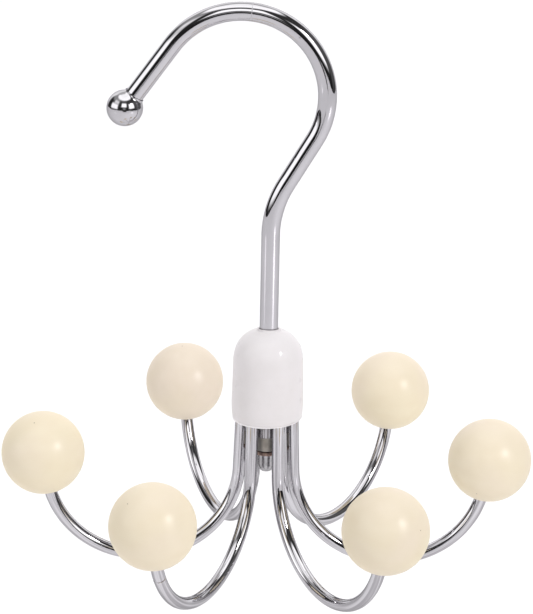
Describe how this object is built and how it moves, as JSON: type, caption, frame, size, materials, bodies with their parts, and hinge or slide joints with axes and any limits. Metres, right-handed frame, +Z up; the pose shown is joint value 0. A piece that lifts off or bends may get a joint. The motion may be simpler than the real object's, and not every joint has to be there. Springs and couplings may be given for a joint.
{
  "type": "rotating closet hook",
  "caption": "Chrome wire hook for a closet rod with a spinning hub that carries J-shaped wire arms, each ending in a ball, for belts, scarves and bags.",
  "frame": {"origin": "the saddle: the lowest point of the inner side of the hook's bow at its top, which rests on the closet rod", "axes": "+Z up; the hook lies in the XZ plane with its mouth towards -X; the shank's axis is parallel to Z, 9.7 mm towards +X"},
  "size_m": [0.1676, 0.1538, 0.1819],
  "materials": {
    "chrome": "polished chrome plate",
    "steel": "dull plated steel",
    "copper": "dull brown copper alloy",
    "nylon": "matte beige-grey nylon",
    "white": "smooth glossy white",
    "cream": "satin cream"
  },
  "bodies": {
    "hook": {"hook_wire": "chrome", "hook_tip_ball": "chrome", "retaining_ring": "copper", "shank_stop_ring": "steel"},
    "rack": {"hub_cover": "white", "core_sleeve": "steel", "thrust_bush": "nylon", "arm_front_left": "chrome", "arm_front_right": "chrome", "arm_right": "chrome", "arm_back_right": "chrome", "arm_back_left": "chrome", "arm_left": "chrome", "ball_front_left": "cream", "ball_front_right": "cream", "ball_right": "cream", "ball_back_right": "cream", "ball_back_left": "cream", "ball_left": "cream"}
  },
  "joints": [
    {"name": "rack_swivel", "type": "hinge", "parent": "hook", "child": "rack", "pos_m": [0.00974, 0, -0.125], "axis": [0, 0, 1], "continuous": true}
  ]
}
